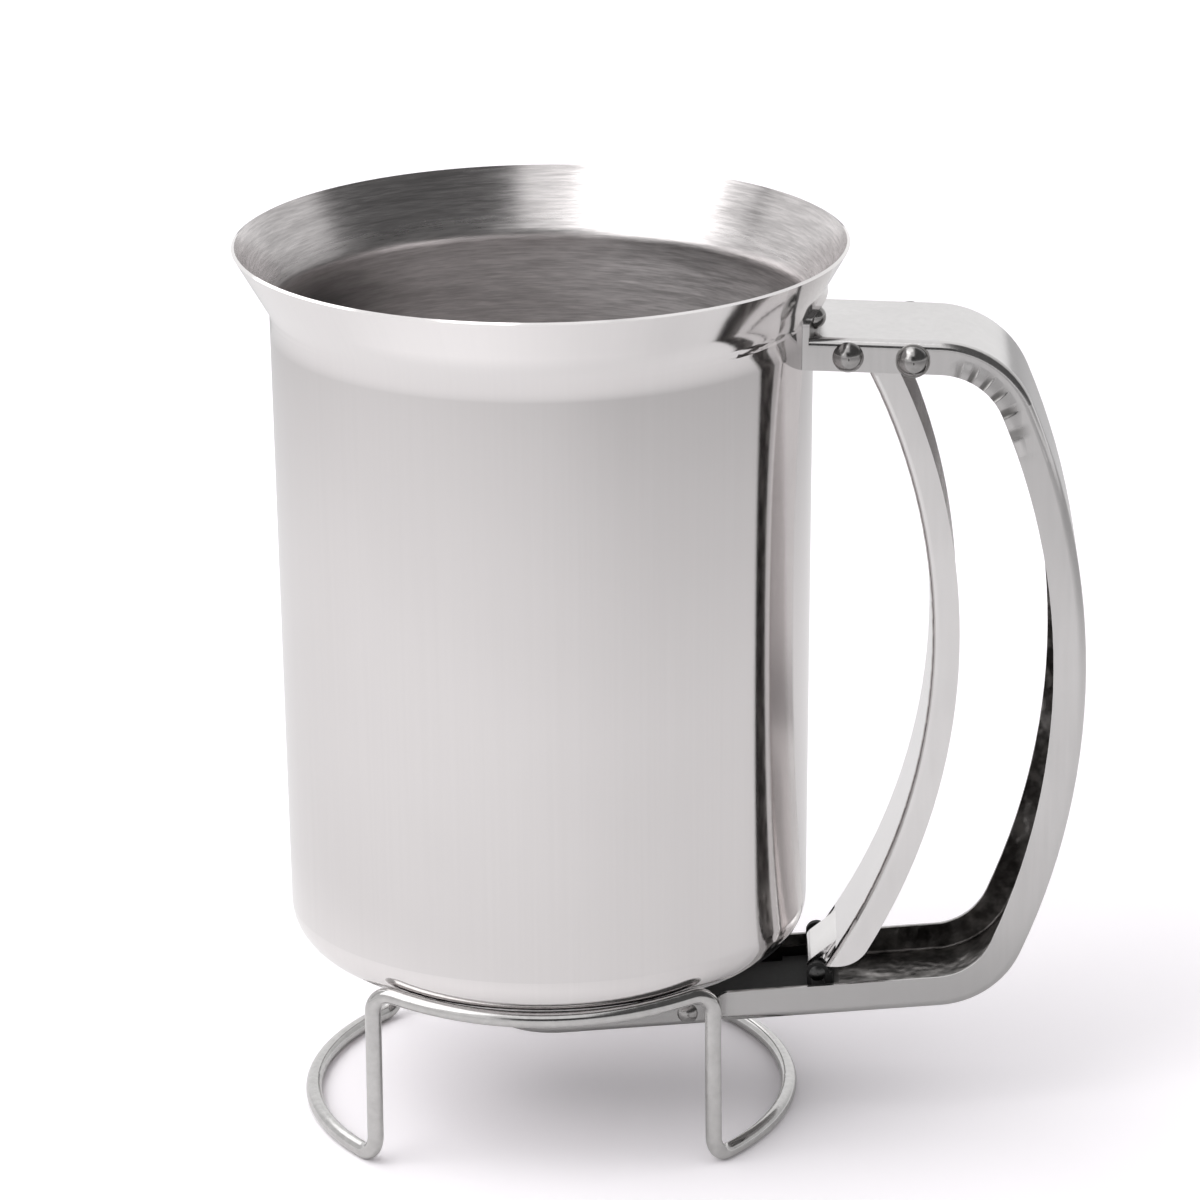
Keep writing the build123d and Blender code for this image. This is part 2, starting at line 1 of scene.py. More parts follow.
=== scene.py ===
# %% [markdown]
# # A batter dispenser in polished steel
# The dispenser is an open steel cup with a flared rim, a pressed channel handle, a squeeze trigger
# and a bent-wire stand. Its CAD solids come in as a fixed frame, in metres, with +X towards the
# handle. Steel has almost no colour of its own, so this lesson is mostly about finishes: how each
# sheet was polished, brushed or bent, and what it has round it to reflect.

# %% Load the frame
import bpy
from math import cos, pi, radians, sin
from mathutils import Matrix, Vector


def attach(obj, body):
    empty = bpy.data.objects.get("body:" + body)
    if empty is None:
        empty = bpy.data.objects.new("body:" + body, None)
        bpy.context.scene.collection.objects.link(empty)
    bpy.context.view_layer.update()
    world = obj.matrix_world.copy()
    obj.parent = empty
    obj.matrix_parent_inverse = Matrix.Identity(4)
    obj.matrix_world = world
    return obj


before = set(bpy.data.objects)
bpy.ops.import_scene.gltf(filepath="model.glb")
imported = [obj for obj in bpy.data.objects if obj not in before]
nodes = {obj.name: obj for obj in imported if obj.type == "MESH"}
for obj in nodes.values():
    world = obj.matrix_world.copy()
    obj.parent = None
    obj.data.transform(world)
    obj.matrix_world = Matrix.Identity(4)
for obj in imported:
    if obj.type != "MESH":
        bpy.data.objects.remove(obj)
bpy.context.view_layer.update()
print(len(nodes), "nodes:", ", ".join(sorted(nodes)))

# %% [markdown]
# ## Maths on sockets
# A finish is a small calculation on the place of each point. Written as nodes one by one it is
# hard to read, so one class wraps a socket: `a * 2 + b` adds the Math nodes, and `add` makes any
# other node from its type, settings and inputs.

# %% A value that varies over a surface
def math_method(operation, reflected=False):
    """A method that adds one Math node. Reflected, it has the other value first."""
    def method(self, other):
        pair = (other, self) if reflected else (self, other)
        return self.tree.add("ShaderNodeMath", {"operation": operation}, dict(enumerate(pair)))
    return method


class Value:
    """Wraps a number socket, so that arithmetic on it adds Math nodes."""

    __add__, __radd__ = math_method("ADD"), math_method("ADD", reflected=True)
    __sub__, __rsub__ = math_method("SUBTRACT"), math_method("SUBTRACT", reflected=True)
    __mul__, __rmul__ = math_method("MULTIPLY"), math_method("MULTIPLY", reflected=True)
    __truediv__, __rtruediv__ = math_method("DIVIDE"), math_method("DIVIDE", reflected=True)
    __gt__, __lt__ = math_method("GREATER_THAN"), math_method("LESS_THAN")
    least, most = math_method("MINIMUM"), math_method("MAXIMUM")
    angle_over = math_method("ARCTAN2")

    def __init__(self, tree, socket):
        self.tree, self.socket = tree, socket

    def of_one(self, operation):
        """The result of a Math node that takes this value alone."""
        return self.tree.add("ShaderNodeMath", {"operation": operation}, {0: self})

    def __abs__(self):
        return self.of_one("ABSOLUTE")

    def sine(self):
        return self.of_one("SINE")

    def root(self):
        return self.of_one("SQRT")

    def ramp(self, low, high):
        """Goes smoothly from 0 to 1 while this value goes from low to high."""
        return self.tree.add("ShaderNodeMapRange", {"interpolation_type": "SMOOTHSTEP"},
                             {"Value": self, "From Min": low, "From Max": high})


print("a Value takes + - * / > < and the methods least, most, angle_over, sine, root and ramp")


# %% A node tree that makes such values
class Tree:
    """A material's or world's nodes."""

    def __init__(self, owner):
        owner.use_nodes = True
        self.nodes, self.links = owner.node_tree.nodes, owner.node_tree.links
        self.nodes.clear()
        kind = "World" if isinstance(owner, bpy.types.World) else "Material"
        self.output = self.nodes.new(f"ShaderNodeOutput{kind}")

    def add(self, kind, settings=None, inputs=None, out=0):
        """Any node, from its type, its settings and its inputs. Returns one of its outputs."""
        node = self.nodes.new(kind)
        for name, value in (settings or {}).items():
            setattr(node, name, value)
        for name, value in (inputs or {}).items():
            self.feed(node.inputs[name], value)
        return Value(self, node.outputs[out])

    def feed(self, socket, value):
        """Links a Value to the socket, or sets a number or a colour on it."""
        if isinstance(value, Value):
            self.links.new(value.socket, socket)
        elif isinstance(value, tuple):
            socket.default_value = (*value, 1)
        else:
            socket.default_value = value

    def parts(self, vector):
        """The x, y and z of a vector."""
        split = self.add("ShaderNodeSeparateXYZ", {}, {0: vector})
        return [Value(self, socket) for socket in split.socket.node.outputs]

    def place(self):
        """The object's own coordinates, as a vector and as x, y, z."""
        point = self.add("ShaderNodeTexCoord", out="Object")
        return (point, *self.parts(point))

    def facing(self):
        """The x, y and z of the direction that the surface faces."""
        return self.parts(self.add("ShaderNodeTexCoord", out="Normal"))

    def vector(self, x, y, z):
        return self.add("ShaderNodeCombineXYZ", {}, {0: x, 1: y, 2: z})

    def noise(self, vector, scale, detail, rough, w=None):
        """Cloudy noise from 0 to 1 in three dimensions, or in four where w is given."""
        dimensions = "3D" if w is None else "4D"
        inputs = {"Vector": vector, "Scale": scale, "Detail": detail, "Roughness": rough}
        if w is not None:
            inputs["W"] = w
        return self.add("ShaderNodeTexNoise", {"noise_dimensions": dimensions}, inputs)

    def mix(self, factor, a, b):
        """Colour a where factor is 0 and b where it is 1. Inputs 6 and 7 are the two colours."""
        return self.add("ShaderNodeMix", {"data_type": "RGBA"}, {0: factor, 6: a, 7: b}, out=2)

    def bump(self, height, distance, strength=1.0):
        inputs = {"Height": height, "Distance": distance, "Strength": strength}
        return self.add("ShaderNodeBump", {}, inputs)

    def steel(self, colour, roughness, normal):
        """A metal whose colour, roughness and normal may vary."""
        inputs = {"Base Color": colour, "Roughness": roughness, "Metallic": 1.0, "Normal": normal}
        return self.add("ShaderNodeBsdfPrincipled", {}, inputs)

    def show(self, shader):
        self.links.new(shader.socket, self.output.inputs["Surface"])


def new_material(name):
    material = bpy.data.materials.new(name)
    return material, Tree(material)


def dress(piece, material):
    """Puts the material on a CAD node, given by its name, or on a new piece."""
    piece = nodes[piece] if isinstance(piece, str) else piece
    piece.data.materials.clear()
    piece.data.materials.append(material)
    print(piece.name, "wears", material.name)


# %% [markdown]
# ## The cup
# The cup is drawn from one sheet. Outside it is polished until it mirrors the handle, and only
# fine scratches and a slow waviness tell it from glass. Inside, a pad held against the spinning
# cup has left rings of short brush strokes. One material covers both, and the direction that the
# surface faces tells which side a point is on.

# %% Directions round the cup
cup_steel, t = new_material("cup_steel")
point, x, y, z = t.place()
nx, ny, nz = t.facing()
NEVER_ZERO = 1e-4
radius = (x * x + y * y).root()
round_x, round_y = x / (radius + NEVER_ZERO), y / (radius + NEVER_ZERO)
# The inner face of the flare looks up as well as inwards, so the upward part counts too
FLARE_TILT = 0.3
inside = (round_x * nx + round_y * ny) - nz * FLARE_TILT < 0
rim_z = max(v.co.z for v in nodes["cup_body"].data.vertices)
print("the rim is", round(rim_z, 4), "m above the floor")

# %% [markdown]
# The brush strokes run round the cup, so their noise is stretched along the angle and has the
# radius as its fourth dimension. Under the neck the pad reached the wall less well, which left it
# duller, and painted shade darkens it there, most opposite the handle.

# %% Brushed inside
FINE_ROWS, FINE_ROUND = 2600, 9
BROAD_ROWS, BROAD_ROUND = 520, 3
BRUSHED_DARK, BRUSHED_LIGHT = (0.55, 0.526, 0.525), (0.87, 0.834, 0.833)
DEEP_SHADE = (0.10, 0.095, 0.095)
DEEP_FROM, NECK = 0.136, 0.150
STROKE_DEPTH = 0.00005
OPPOSITE_X, BESIDE_X = -0.042, -0.018
fine_place = t.vector(round_x * FINE_ROUND, round_y * FINE_ROUND, z * FINE_ROWS)
broad_place = t.vector(round_x * BROAD_ROUND, round_y * BROAD_ROUND, z * BROAD_ROWS)
strokes = t.noise(fine_place, 1.0, 2.0, 0.65, w=radius * FINE_ROWS)
broad = t.noise(broad_place, 1.0, 2.0, 0.6, w=radius * BROAD_ROWS)
grain = strokes * 0.6 + broad * 0.4
deep = 1 - z.ramp(DEEP_FROM, NECK)
shade_far_from_handle = 1 - x.ramp(OPPOSITE_X, BESIDE_X)
brushed_colour = t.mix(grain.ramp(0.3, 0.7), BRUSHED_DARK, BRUSHED_LIGHT)
# Painted shade: the deep wall is darkened, most on the side opposite the handle
brushed_colour = t.mix(deep * shade_far_from_handle * 0.95, brushed_colour, DEEP_SHADE)
brushed = t.steel(brushed_colour, grain * 0.2 + 0.12 + deep * 0.32, t.bump(grain, STROKE_DEPTH, 0.5))
print("brush strokes", STROKE_DEPTH, "m deep,", FINE_ROWS, "fine rows to a metre")

# %% [markdown]
# The polished sheet is slightly wavy, with faint upright marks of the wheel. Polishing has also
# rounded the bend below the rim, so its reflection fades in softly. That rounding is a wide,
# shallow bump with the shape of an arch.

# %% Polished outside
POLISHED_DARK, POLISHED_LIGHT = (0.70, 0.675, 0.673), (0.80, 0.774, 0.772)
FLARE_PAINTED_SHEEN, FLARE_FROM, FLARE_TO = (0.99, 0.97, 0.968), 0.140, 0.147
BEND_Z, BEND_REACH = 0.1438, 0.0042
WAVE_DEPTH, ARCH_HEIGHT, ARCH_SOFTNESS = 0.00006, 0.0006, 0.02
MARKS_ROUND, MARKS_UP = 60, 14
waves = t.noise(point, 26, 2.0, 0.4)
marks = t.noise(t.vector(round_x * MARKS_ROUND, round_y * MARKS_ROUND, z * MARKS_UP), 1.0, 3.0, 0.6)
from_bend = (z - BEND_Z) / BEND_REACH
arch = (1 - (from_bend * from_bend + ARCH_SOFTNESS).root()).most(0.0)
polished_colour = t.mix(waves * 0.6 + marks * 0.4, POLISHED_DARK, POLISHED_LIGHT)
# Painted reflection: the flare's colour is lighter, for the bright floor near the cup
polished_colour = t.mix(z.ramp(FLARE_FROM, FLARE_TO) * 0.3, polished_colour, FLARE_PAINTED_SHEEN)
relief = t.bump(waves * WAVE_DEPTH + arch * arch * ARCH_HEIGHT, 1.0)
polished = t.steel(polished_colour, marks * 0.05 + 0.06, relief)
t.show(t.add("ShaderNodeMixShader", {}, {0: inside, 1: polished, 2: brushed}))
dress("cup_body", cup_steel)

# %% [markdown]
# ## Sheet metal
# The handle, trigger and guide are pressed from sheet that was polished flat before pressing, so
# their finish is a soft satin with the rolling direction still in it. The scratches are noise
# that is stretched along one axis of the part.

# %% Grain of a rolled sheet
ALONG_X, ALONG_Z = 0, 2
GRAIN_DEPTH = 0.00002
ACROSS_GRAIN, ALONG_GRAIN = 900, 60


def rolled_grain(t, x, y, z, along):
    """Fine scratches that run along the given axis of the part."""
    stretch = [ACROSS_GRAIN] * 3
    stretch[along] = ALONG_GRAIN
    return t.noise(t.vector(x * stretch[0], y * stretch[1], z * stretch[2]), 1.0, 3.0, 0.6)


def cloudiness(t, point):
    """Slow changes of tone that every satin finish has."""
    return t.noise(point, 60, 2.0, 0.5)


def satin_sheet(name, dark, light, along, rough):
    """Plain satin sheet steel."""
    material, t = new_material(name)
    point, x, y, z = t.place()
    grain = rolled_grain(t, x, y, z, along)
    colour = t.mix(grain * 0.5 + cloudiness(t, point) * 0.5, dark, light)
    t.show(t.steel(colour, grain * 0.10 + rough, t.bump(grain, GRAIN_DEPTH, 0.5)))
    return material


print("scratches are", ACROSS_GRAIN // ALONG_GRAIN, "times as long as they are wide")

# %% [markdown]
# ## Handle
# Bending a channel squeezes the free edges of its flanges, which buckle into small folds, deepest
# at the edge and gone before they reach the web. Painted shade darkens their valleys, and the
# shape of the upper ones comes in a later step. Inside the channel no wheel could reach, so the
# sheet is duller there, and painted shade makes it dark.

# %% The handle's own lines
HALF_WIDTH, SHEET, FLANGE = 0.01335, 0.001, 0.0056
# Each arc of the outer face has the x and z of its centre, and its radius
UPPER_BEND = (0.06703, 0.12298, 0.0175)
LOWER_BEND = (0.06707, 0.03685, 0.0164)
GRIP = (-0.03200, 0.07743, 0.1265)
BEND_END = radians(24.7)
UPPER_SPACING, LOWER_SPACING = 0.0032, 0.0040
# Places along the upper free edge, from the end of the bend: the folds begin, are full, fade, end
FOLDS_FROM, FOLDS_FULL, FOLDS_FADE, FOLDS_TO = -0.0105, -0.001, 0.0085, 0.0128
print("upper folds: about", round((FOLDS_TO - FOLDS_FROM) / UPPER_SPACING), "in a row")


# %% Where the folds lie
UNEVEN_RATE, UNEVEN_START, UNEVEN_TURNS, FIRST_TURN = 200, 1.8, 0.6, 0.862


def fold_turns(along, spacing, sine):
    """How many folds there are up to a place along the free edge, unevenly spaced."""
    return along / spacing + sine(along * UNEVEN_RATE - UNEVEN_START) * UNEVEN_TURNS + FIRST_TURN


def polar(x, z, arc):
    """Angle and distance from the centre of one of the handle's arcs."""
    dx, dz = x - arc[0], z - arc[1]
    return dz.angle_over(dx), (dx * dx + dz * dz).root()


def valleys(along, spacing):
    """1 at the bottom of each fold and 0 on the ridges."""
    return (fold_turns(along, spacing, Value.sine) * (2 * pi)).sine().ramp(-0.5, 0.9)


# %% Faces of the channel
# A point inside the handle's C, which the channel's inner faces look towards
MIDDLE_X, MIDDLE_Z = 0.055, 0.085
LOOKS_IN = 0.0002
handle_steel, t = new_material("handle_steel")
point, x, y, z = t.place()
nx, ny, nz = t.facing()
facing_middle = ((x - MIDDLE_X) * nx + (z - MIDDLE_Z) * nz) < LOOKS_IN
in_channel = (abs(y) < HALF_WIDTH - SHEET / 2) * facing_middle
on_flange = abs(y) > HALF_WIDTH - SHEET * 1.2
print("the channel's dull skin is", round(2 * (HALF_WIDTH - SHEET / 2), 4), "m wide")

# %% Dark valleys of the folds
UPPER_DEPTHS, LOWER_DEPTHS = (0.28, 0.80), (0.15, 0.75)
UPPER_X, UPPER_Z = 0.067, 0.11
LOWER_Z, LOWER_TURN = 0.055, 0.6
angle, radius = polar(x, z, UPPER_BEND)
grip_angle, grip_radius = polar(x, z, GRIP)
on_bend = angle > BEND_END
along_bend = (angle - BEND_END) * (UPPER_BEND[2] - FLANGE)
along_grip = (grip_angle - BEND_END) * (GRIP[2] - FLANGE)
along = on_bend * along_bend + (1 - on_bend) * along_grip
depth = (on_bend * (UPPER_BEND[2] - radius) + (1 - on_bend) * (GRIP[2] - grip_radius)) / FLANGE
upper_part = along.ramp(FOLDS_FROM, FOLDS_FULL) * (1 - along.ramp(FOLDS_FADE, FOLDS_TO))
upper_part = upper_part * depth.ramp(*UPPER_DEPTHS) * (x > UPPER_X) * (z > UPPER_Z)
lower_angle, lower_radius = polar(x, z, LOWER_BEND)
lower_depth = ((LOWER_BEND[2] - lower_radius) / FLANGE).ramp(*LOWER_DEPTHS)
lower_part = (1 - lower_angle.ramp(0.0, LOWER_TURN)) * lower_depth * (z < LOWER_Z) * in_channel
lower_wave = valleys(lower_angle * (LOWER_BEND[2] - FLANGE), LOWER_SPACING)
pucker = (valleys(along, UPPER_SPACING) * upper_part + lower_wave * lower_part) * on_flange
print("valleys darken the flange from", FOLDS_FROM, "to", FOLDS_TO, "m along its free edge")

# %% Handle steel
SATIN_DARK, SATIN_LIGHT = (0.54, 0.528, 0.526), (0.76, 0.742, 0.74)
LOWER_LEG_SHADE, VALLEY_SHADE = (0.38, 0.372, 0.37), (0.13, 0.125, 0.12)
CHANNEL_SHADE_DARK, CHANNEL_SHADE_LIGHT = (0.07, 0.065, 0.062), (0.26, 0.247, 0.24)
RIPPLE_DEPTH, SCRATCH_DEPTH, PUCKER_DEPTH = 0.0009, 0.00001, 0.00012
RIPPLES_ALONG, RIPPLES_ACROSS = 190, 150
LEG_TOP, LEG_GONE = 0.022, 0.046
grain = rolled_grain(t, x, y, z, ALONG_Z)
satin = t.mix(grain * 0.5 + cloudiness(t, point) * 0.5, SATIN_DARK, SATIN_LIGHT)
# Painted shade: the lower leg darkens towards the bottom, where it mirrors the shadowed floor
satin = t.mix((1 - z.ramp(LEG_TOP, LEG_GONE)) * 0.70, satin, LOWER_LEG_SHADE)
# Painted shade darkens the fold zone a little and the valleys of the folds more
satin = t.mix(upper_part * on_flange * 0.10 + pucker * 0.78, satin, VALLEY_SHADE)
# Painted shade: the channel's inside faces are coloured dark
skin_shade = t.mix(t.noise(point, 200, 3.0, 0.6).ramp(0.35, 0.65), CHANNEL_SHADE_DARK, CHANNEL_SHADE_LIGHT)
ripple_place = t.vector(x * RIPPLES_ALONG, y * RIPPLES_ACROSS, z * RIPPLES_ALONG)
ripple = t.noise(ripple_place, 1.0, 2.0, 0.5) * in_channel
height = ripple * RIPPLE_DEPTH + grain * SCRATCH_DEPTH - lower_wave * lower_part * on_flange * PUCKER_DEPTH
rough = grain * 0.10 + 0.12 + in_channel * 0.14 + pucker * 0.22
t.show(t.steel(t.mix(in_channel, satin, skin_shade), rough, t.bump(height, 1.0)))
dress("handle", handle_steel)

# %% [markdown]
# ## Folds of the upper bend
# The folds that face the hand stand out of the flange, so they are modelled. No edit-mode tool
# bends and ripples a strip in one go, so a fine grid is added, and a formula moves its points onto
# the flange's outer face and lifts them along the ridges. Solidify gives it a back that lies inside
# the sheet. Where the lift fades, the grid dips under the face and is hidden.

# %% Height of the folds
RIDGE, DIP = 0.00024, 0.00004
SKIN_START, SKIN_SPAN = 0.25, 0.74
RISE_ON_BEND, MORE_ON_GRIP, RISE_TOP = 0.28, 0.30, 0.85
GRIP_RISE_FROM = -0.005


def step(value, low, high):
    """Goes smoothly from 0 to 1 while value goes from low to high."""
    part = min(max((value - low) / (high - low), 0.0), 1.0)
    return part * part * (3 - 2 * part)


def fold_lift(along, depth):
    """How far a point stands out of the flange, from its place along and across it."""
    rise_from = RISE_ON_BEND + MORE_ON_GRIP * (1 - step(along, GRIP_RISE_FROM, 0.0))
    shown = step(along, FOLDS_FROM, FOLDS_FULL) * (1 - step(along, FOLDS_FADE, FOLDS_TO))
    shown *= step(depth, rise_from, RISE_TOP)
    ridge = 1 - step(sin(fold_turns(along, UPPER_SPACING, sin) * 2 * pi), 0.0, 1.0)
    return shown * (DIP * 1.5 + ridge * RIDGE) - DIP


print("a full ridge stands out", round(DIP * 0.5 + RIDGE, 5), "m")


# %% A folded skin on each flange
STEPS_ALONG, STEPS_ACROSS = 300, 28
SKIN_THICKNESS = 0.0004


def folded_skin(name, side):
    """A thin closed skin with the folds of the upper bend, on the flange at one side."""
    bpy.ops.object.select_all(action="DESELECT")
    bpy.ops.mesh.primitive_grid_add(x_subdivisions=STEPS_ALONG, y_subdivisions=STEPS_ACROSS, size=2.0)
    piece = bpy.context.object
    piece.name = name
    for vertex in piece.data.vertices:
        along = FOLDS_FROM + (vertex.co.x + 1) / 2 * (FOLDS_TO - FOLDS_FROM)
        depth = SKIN_START + (vertex.co.y + 1) / 2 * SKIN_SPAN
        centre_x, centre_z, arc_radius = UPPER_BEND if along > 0 else GRIP
        angle = BEND_END + along / (arc_radius - FLANGE)
        radius = arc_radius - depth * FLANGE
        out = side * (HALF_WIDTH + fold_lift(along, depth))
        vertex.co = (centre_x + radius * cos(angle), out, centre_z + radius * sin(angle))
    bpy.ops.object.modifier_add(type="SOLIDIFY")
    solidify = piece.modifiers[-1]
    solidify.thickness = SKIN_THICKNESS
    solidify.offset = side
    bpy.ops.object.modifier_apply(modifier=solidify.name)
    bpy.ops.object.mode_set(mode="EDIT")
    bpy.ops.mesh.select_all(action="SELECT")
    bpy.ops.mesh.normals_make_consistent(inside=False)
    bpy.ops.object.mode_set(mode="OBJECT")
    bpy.ops.object.shade_smooth_by_angle(angle=radians(40))
    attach(piece, "dispenser")
    dress(piece, handle_steel)
    reach = max(abs(v.co.y) for v in piece.data.vertices)
    print(name, "has", len(piece.data.polygons), "faces and reaches", round(reach, 5), "m from the middle")


folded_skin("near_flange_folds", -1)
folded_skin("far_flange_folds", 1)

# %% [markdown]
# ## Guide arm, trigger and hidden sheet parts
# The guide arm under the cup is darkened with painted shade, most on the inside of its channel.
# The direction that a face looks in, times the side it is on, tells the outside from the inside
# of the channel. The trigger is the brightest sheet, because the hand rubs it, and the parts under
# the cup are dull.

# %% Guide arm, bright outside and dull inside
GUIDE_SHADED_DARK, GUIDE_SHADED_LIGHT = (0.27, 0.265, 0.262), (0.40, 0.392, 0.39)
GUIDE_INSIDE_SHADE_DARK, GUIDE_INSIDE_SHADE_LIGHT = (0.05, 0.047, 0.045), (0.16, 0.15, 0.148)
FLANK_OUT, BOTTOM_DOWN, NOSE_X, NOSE_OUT = 0.004, -0.5, 0.002, -0.3
guide_steel, t = new_material("guide_steel")
point, x, y, z = t.place()
nx, ny, nz = t.facing()
grain, cloud = rolled_grain(t, x, y, z, ALONG_X), cloudiness(t, point)
flank, bottom = y * ny > FLANK_OUT, nz < BOTTOM_DOWN
nose = (x < NOSE_X) * (nx < NOSE_OUT)
facing_out = flank.most(bottom).most(nose)
# Painted shade: the guide lies under the cup, so both tones are darkened, the inside more
satin = t.mix(grain * 0.5 + cloud * 0.5, GUIDE_SHADED_DARK, GUIDE_SHADED_LIGHT)
skin_shade = t.mix(cloud.ramp(0.35, 0.65), GUIDE_INSIDE_SHADE_DARK, GUIDE_INSIDE_SHADE_LIGHT)
rough = grain * 0.10 + 0.30 - facing_out * 0.14
t.show(t.steel(t.mix(facing_out, skin_shade, satin), rough, t.bump(grain, GRAIN_DEPTH, 0.5)))
dress("guide_arm", guide_steel)

# %% Trigger and small sheet parts
trigger_steel = satin_sheet("trigger_steel", (0.66, 0.645, 0.643), (0.86, 0.84, 0.837), ALONG_Z, 0.12)
inner_steel = satin_sheet("inner_steel", (0.20, 0.19, 0.185), (0.36, 0.35, 0.34), ALONG_X, 0.32)
dress("trigger", trigger_steel)
for name in ("bottom_bracket", "outlet_nozzle", "pivot_washers", "trigger_return_spring"):
    dress(name, inner_steel)

# %% [markdown]
# ## Wire, rivets and pins
# The stand's wire is drawn through a die and comes out bright. The heads of rivets and pins are
# turned; the rivets' darker tone is painted shade, and the pin is nearly black. All have the same
# kind of even, fine grain, so one function makes the three finishes, each from a scale, two tones
# and a roughness.

# %% Drawn and turned steel
FINE_DEPTH = 0.00002


def fine_steel(name, scale, harshness, dark, light, vary, rough):
    """Drawn or turned steel with an even, fine grain."""
    material, t = new_material(name)
    point, x, y, z = t.place()
    fine = t.noise(point, scale, 2.0, harshness)
    t.show(t.steel(t.mix(fine, dark, light), fine * vary + rough, t.bump(fine, FINE_DEPTH, 0.4)))
    return material


wire_steel = fine_steel("wire_steel", 700, 0.5, (0.46, 0.451, 0.446), (0.62, 0.61, 0.604), 0.08, 0.10)
# Painted shade: the rivets' tone is darkened
rivet_steel = fine_steel("rivet_steel", 900, 0.6, (0.28, 0.272, 0.268), (0.44, 0.43, 0.425), 0.08, 0.16)
pin_steel = fine_steel("link_pin_steel", 900, 0.6, (0.05, 0.05, 0.05), (0.12, 0.12, 0.12), 0.1, 0.25)
dress("wire_stand", wire_steel)
for name in ("handle_tab_rivets", "handle_cross_rivet", "trigger_pivot_pin", "guide_side_rivets"):
    dress(name, rivet_steel)
dress("slide_link_pin", pin_steel)

# %% [markdown]
# ## Black slide and seal
# The seal is rubber. The slide plate is coloured the same near-black as painted shade, where it
# lies in the channel under the cup. Both have a fine matt skin, and they reflect less than most
# plastics do.

# %% Black mouldings
BLACK_AND_SHADE_DARK, BLACK_AND_SHADE_LIGHT = (0.010, 0.010, 0.010), (0.024, 0.023, 0.023)


def black_rubber_and_shade(name):
    """Near-black with a fine matt skin: the seal's own rubber, and painted shade on the slide."""
    material, t = new_material(name)
    point, x, y, z = t.place()
    fine = t.noise(point, 1200, 2.0, 0.6)
    t.show(t.add("ShaderNodeBsdfPrincipled", {}, {
        "Base Color": t.mix(fine, BLACK_AND_SHADE_DARK, BLACK_AND_SHADE_LIGHT), "Roughness": fine * 0.2 + 0.5,
        "Metallic": 0.0, "Specular IOR Level": 0.25, "Normal": t.bump(fine, 0.00003, 0.4)}))
    return material


dress("nozzle_seal", black_rubber_and_shade("seal_rubber"))
# Painted shade: the slide is coloured near-black
dress("valve_slide", black_rubber_and_shade("slide_plastic"))

# %% [markdown]
# ## Floor, light and camera
# Polished metal shows its surroundings, so the studio is part of the finish. The floor is white
# for the camera and keeps the object's shadow. In what the steel mirrors, a painted pool of light
# makes it brightest near the object, and it fades with distance and towards the right.

# %% White floor that keeps its shadow
LIT_WHITE, CAMERA_WHITE, BLACK = (0.98, 0.971, 0.978), (1.20, 1.165, 1.205), (0.0, 0.0, 0.0)
NEAR_FADE, FAR_FADE, SIDE_FADE = 0.14, 0.24, 0.05
CENTRE_X = -0.02
NEAR, FAR, SIDE = (0.07, 0.14), (0.25, 0.60), (0.0, 0.30)
FLOOR_SIZE = 12.0
bpy.ops.object.select_all(action="DESELECT")
bpy.ops.mesh.primitive_plane_add(size=FLOOR_SIZE, location=(0, 0, 0))
floor = bpy.context.object
floor.name = "floor"
floor_white, t = new_material("floor_white")
point, x, y, z = t.place()
reach = ((x - CENTRE_X) * (x - CENTRE_X) + y * y).root()
# A painted pool of light: the floor darkens away from the object and towards the right
painted_light_falloff = reach.ramp(*NEAR) * NEAR_FADE + reach.ramp(*FAR) * FAR_FADE + x.ramp(*SIDE) * SIDE_FADE
is_camera = t.add("ShaderNodeLightPath", out="Is Camera Ray")
seen_white = t.mix(is_camera, t.mix(painted_light_falloff, LIT_WHITE, BLACK), CAMERA_WHITE)
t.show(t.add("ShaderNodeBsdfDiffuse", {}, {"Color": seen_white}))
floor.data.materials.append(floor_white)
print("floor: white, and darker by", NEAR_FADE + FAR_FADE, "far away, where the steel mirrors it")

# %% [markdown]
# The space round the object is white to the camera, and the steel mirrors a studio in it: above
# the horizon there are dark cloths on the right and in front, a narrow dark strip on the left and
# grey sides. They give the cup its dark streaks. All other rays get an even, weaker white.

# %% World
OTHER_RAYS = 0.68
DARK_RIGHT, DARK_FRONT, DARK_STRIP, GREY_RIGHT, GREY_LEFT = 0.90, 0.95, 0.90, 0.35, 0.20
# Soft edges of the cloths, each as the part of a direction where it begins and where it is full
HORIZON = (0.02, 0.12)
RIGHT_EDGE, RIGHT_BACK = (0.13, 0.17), (0.12, 0.35)
FRONT_EDGE, FRONT_TOP, FRONT_SIDES = (-0.80, -0.65), (0.55, 0.62), (0.15, 0.28)
STRIP_FRONT, STRIP_BACK = (0.10, 0.15), (0.17, 0.22)
GREY_RIGHT_EDGE, GREY_LEFT_EDGE = (0.25, 0.70), (0.45, 0.70)
world = bpy.data.worlds.new("studio")
bpy.context.scene.world = world
w = Tree(world)
seen = w.add("ShaderNodeLightPath", out="Is Camera Ray")
mirrored = w.add("ShaderNodeLightPath", out="Is Glossy Ray")
through = w.add("ShaderNodeLightPath", out="Is Transmission Ray")
dx, dy, dz = w.parts(w.add("ShaderNodeTexCoord", out="Generated"))
above = dz.ramp(*HORIZON)
right = dx.ramp(*RIGHT_EDGE) * (1 - dy.ramp(*RIGHT_BACK))
front = (1 - dy.ramp(*FRONT_EDGE)) * (1 - dz.ramp(*FRONT_TOP)) * (1 - abs(dx).ramp(*FRONT_SIDES))
strip = (dx < 0) * dy.ramp(*STRIP_FRONT) * (1 - dy.ramp(*STRIP_BACK))
grey = dx.ramp(*GREY_RIGHT_EDGE) * GREY_RIGHT + (dx * -1).ramp(*GREY_LEFT_EDGE) * GREY_LEFT
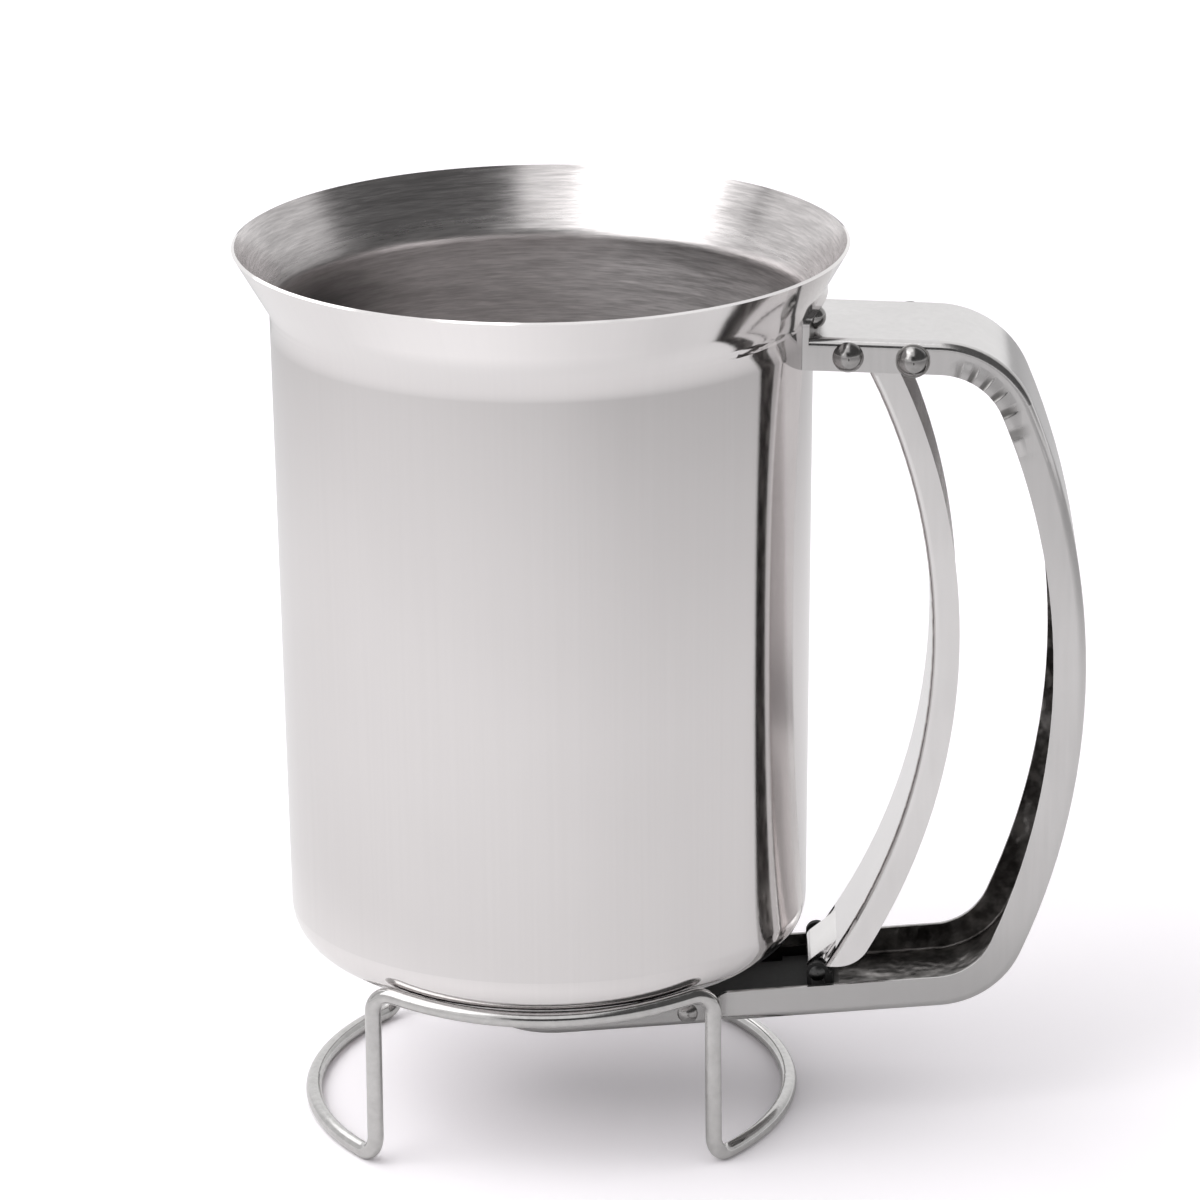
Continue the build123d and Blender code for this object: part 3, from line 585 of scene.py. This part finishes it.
cloths = (right * DARK_RIGHT).most(front * DARK_FRONT).most(strip * DARK_STRIP).most(grey)
others = 1 - (seen + through + mirrored).least(1.0)
strength = (seen + through).least(1.0) + mirrored * (1 - above * cloths) + others * OTHER_RAYS
background = w.add("ShaderNodeBackground", {}, {"Color": (1.0, 1.0, 1.0), "Strength": strength})
w.show(background)
print("world: white, with dark cloths above the horizon on the right and in front")

# %% [markdown]
# Three soft lamps stand high on the left: a large one in front, one almost overhead, and one
# behind, which lights the rim and the far side. Their softness keeps the shadow faint.

# %% Lamps
MIDDLE_HEIGHT = 0.08


def soft_lamp(name, place, size, power):
    """A rectangular lamp that points at the middle of the object."""
    bpy.ops.object.light_add(type="AREA", location=place)
    lamp = bpy.context.object
    lamp.name = name
    lamp.data.shape = "RECTANGLE"
    lamp.data.size, lamp.data.size_y = size
    lamp.data.energy = power
    target = Vector((0, 0, MIDDLE_HEIGHT))
    lamp.rotation_euler = (target - Vector(place)).to_track_quat("-Z", "Y").to_euler()
    print(name, "at", place, "with", power, "W")


soft_lamp("left_lamp", (-0.95, -0.70, 1.05), (1.3, 1.3), 8)
soft_lamp("top_lamp", (-0.45, -0.15, 1.45), (1.0, 1.0), 4)
soft_lamp("back_lamp", (-0.6, 1.1, 1.2), (1.2, 0.8), 3)

# %% [markdown]
# The camera stands about a metre away with a long lens, which keeps the cup's sides almost
# parallel. Its place comes from two angles and a distance, and it leans by half a degree.

# %% Camera
LOOK_AT = Vector((0.00946, -0.00046, 0.0909))
DISTANCE, AZIMUTH, ELEVATION, ROLL = 1.1002, radians(1.68), radians(18.137), radians(-0.589)
SENSOR_WIDTH, LENS, CLIP_START = 36.0, 191.25, 0.05
back = Vector((sin(AZIMUTH) * cos(ELEVATION), -cos(AZIMUTH) * cos(ELEVATION), sin(ELEVATION)))
level = Vector((cos(AZIMUTH), sin(AZIMUTH), 0))
upright = back.cross(level)
across = level * cos(ROLL) + upright * sin(ROLL)
up = upright * cos(ROLL) - level * sin(ROLL)
bpy.ops.object.camera_add(location=LOOK_AT + back * DISTANCE)
camera = bpy.context.object
camera.rotation_euler = Matrix((across, up, back)).transposed().to_euler()
camera.data.sensor_width = SENSOR_WIDTH
camera.data.lens = LENS
camera.data.clip_start = CLIP_START
bpy.context.scene.camera = camera
bpy.context.scene.view_settings.view_transform = "Standard"
print("camera at", [round(v, 3) for v in camera.location], "lens", LENS, "mm")
